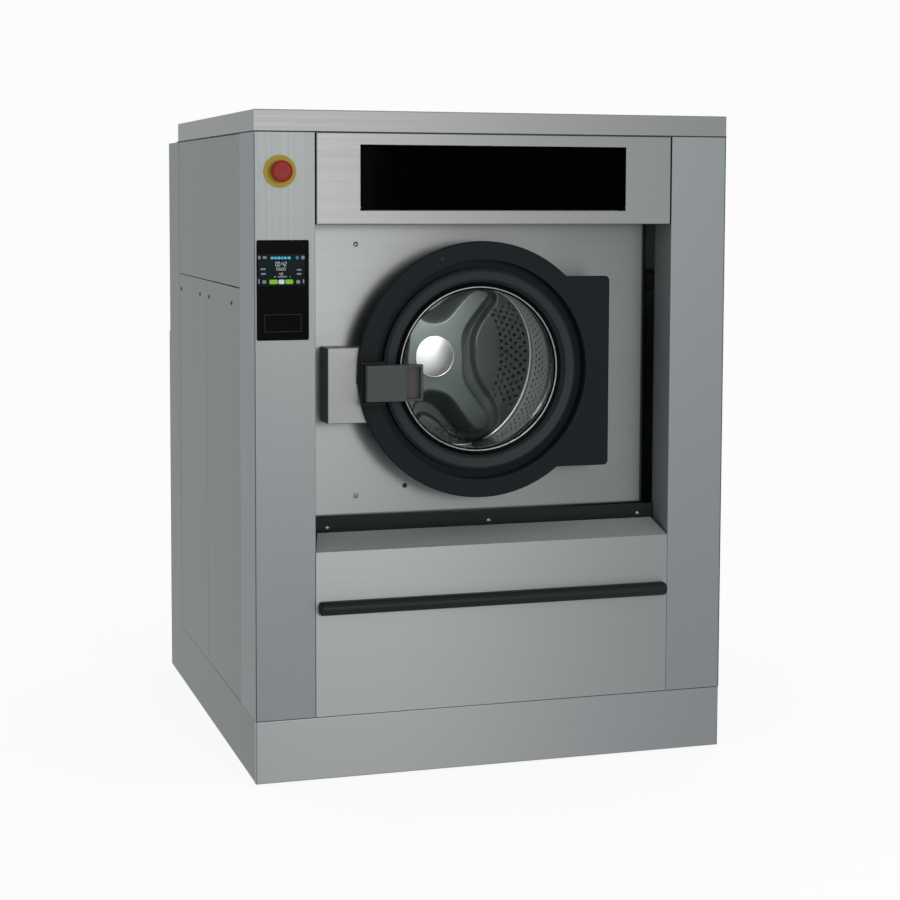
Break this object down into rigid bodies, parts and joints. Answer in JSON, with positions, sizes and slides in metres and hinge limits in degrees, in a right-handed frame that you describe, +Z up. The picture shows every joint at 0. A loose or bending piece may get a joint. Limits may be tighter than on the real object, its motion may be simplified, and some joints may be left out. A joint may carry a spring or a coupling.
{
  "type": "washer-extractor",
  "caption": "Free-standing stainless washer-extractor with a side-hung porthole door, sprung tub, perforated drum, belt drive, glass-flapped dispenser, touch panel and stop button.",
  "frame": {"origin": "on the floor, under the middle of the machine's overall box", "axes": "+Z up, +Y from the front towards the back, +X to the right as seen from the front"},
  "size_m": [1.272, 1.393, 1.69],
  "materials": {
    "stainless_skin": "brushed",
    "frame_paint": "satin",
    "dark_casting": "satin paint",
    "grey_casting": "satin paint",
    "bright_trim": "polished",
    "drum_steel": "satin, perforated",
    "steel_plate": "rolled",
    "cast_grey": "painted",
    "black_rail": "satin",
    "handle_plastic": "matte",
    "black_bracket": "satin",
    "seal_rubber": "matte",
    "porthole_glass": "clear",
    "flap_glass": "black, tempered",
    "yellow_disc": "matte",
    "red_head": "gloss",
    "black_plastic": "matte",
    "screen_face": "gloss",
    "hopper_plastic": "matte",
    "brass_fitting": "machined",
    "spring_steel": "oiled",
    "screw_steel": "polished"
  },
  "bodies": {
    "cabinet": {"base_frame": "frame_paint", "cabinet_frame": "frame_paint", "plinth_front": "stainless_skin", "plinth_skirts": "stainless_skin", "left_column": "stainless_skin", "right_column": "stainless_skin", "fascia_panel": "stainless_skin", "top_cover": "stainless_skin", "upper_side_panels": "stainless_skin", "service_panels": "stainless_skin", "rear_corners": "stainless_skin", "back_panels": "stainless_skin", "lower_front_panel": "stainless_skin", "bumper_bar": "black_rail", "trough_plate": "frame_paint", "cabinet_screws": "screw_steel", "touch_bezel": "black_plastic", "touch_screen": "screen_face", "estop_disc": "yellow_disc", "estop_body": "black_plastic", "dispenser_hopper": "hopper_plastic", "springs": "spring_steel", "damper_cylinders": "spring_steel", "drain_valve": "black_plastic", "drain_hose": "seal_rubber", "water_inlets": "brass_fitting", "cable_gland": "black_plastic", "electrical_box": "frame_paint"},
    "tub": {"door_panel": "stainless_skin", "panel_screws": "screw_steel", "door_carrier": "steel_plate", "tub_shell": "steel_plate", "tub_back": "steel_plate", "door_gasket": "seal_rubber", "lock_box": "stainless_skin", "lock_solenoid": "black_plastic", "hinge_brackets": "black_bracket", "tub_cradle": "frame_paint", "bearing_housing": "cast_grey", "bearings": "steel_plate", "motor_housing": "cast_grey", "drive_belt": "seal_rubber", "damper_rods": "bright_trim"},
    "drum": {"drum_shell": "drum_steel", "drum_back": "drum_steel", "drum_lifters": "drum_steel", "drum_spider": "cast_grey", "drum_pulley": "cast_grey"},
    "motor_rotor": {"motor_pulley": "cast_grey"},
    "door": {"door_frame": "dark_casting", "door_inner_ring": "grey_casting", "door_trim_ring": "bright_trim", "door_glass": "porthole_glass", "handle_bracket": "black_bracket", "latch_tongue": "steel_plate"},
    "handle": {"handle_lever": "handle_plastic"},
    "lock_pin": {"lock_pin": "bright_trim"},
    "stop_plunger": {"estop_plunger": "black_plastic"},
    "stop_head": {"estop_head": "red_head"},
    "flap": {"dispenser_flap": "flap_glass"}
  },
  "joints": [
    {"name": "tub_bounce", "type": "slide", "parent": "cabinet", "child": "tub", "axis": [0, 0, 1], "range_m": [-0.015, 0.015], "stiffness_N_per_m": 420000, "springref_m": 0.01021, "deforming": ["springs", "drain_hose"]},
    {"name": "drum_spin", "type": "hinge", "parent": "tub", "child": "drum", "pos_m": [-0.036, 0.0355, 1.034], "axis": [0, 1, 0], "continuous": true},
    {"name": "motor_spin", "type": "hinge", "parent": "tub", "child": "motor_rotor", "pos_m": [0.144, 0.0855, 0.316], "axis": [0, 1, 0], "continuous": true},
    {"name": "door_hinge", "type": "hinge", "parent": "tub", "child": "door", "pos_m": [0.285, -0.6045, 1.034], "axis": [0, 0, 1], "range_deg": [0, 115]},
    {"name": "handle_pivot", "type": "hinge", "parent": "door", "child": "handle", "pos_m": [-0.343, -0.6735, 1.008], "axis": [0, 0, -1], "range_deg": [0, 25], "stiffness_Nm_per_rad": 2, "springref_deg": -8.59},
    {"name": "lock_slide", "type": "slide", "parent": "tub", "child": "lock_pin", "axis": [0, 0, 1], "range_m": [0, 0.012], "stiffness_N_per_m": 200, "springref_m": -0.003},
    {"name": "stop_press", "type": "slide", "parent": "cabinet", "child": "stop_plunger", "axis": [0, 1, 0], "range_m": [0, 0.006], "stiffness_N_per_m": 1500, "springref_m": -0.001},
    {"name": "stop_twist", "type": "hinge", "parent": "stop_plunger", "child": "stop_head", "pos_m": [-0.568, -0.6885, 1.538], "axis": [0, 1, 0], "range_deg": [0, 35], "stiffness_Nm_per_rad": 0.05, "springref_deg": -5.73},
    {"name": "flap_hinge", "type": "hinge", "parent": "cabinet", "child": "flap", "pos_m": [-0.007, -0.661, 1.45], "axis": [1, 0, 0], "range_deg": [0, 80]}
  ],
  "couplings": [
    {"joint": "motor_spin", "follows": "drum_spin", "ratio": 5}
  ]
}
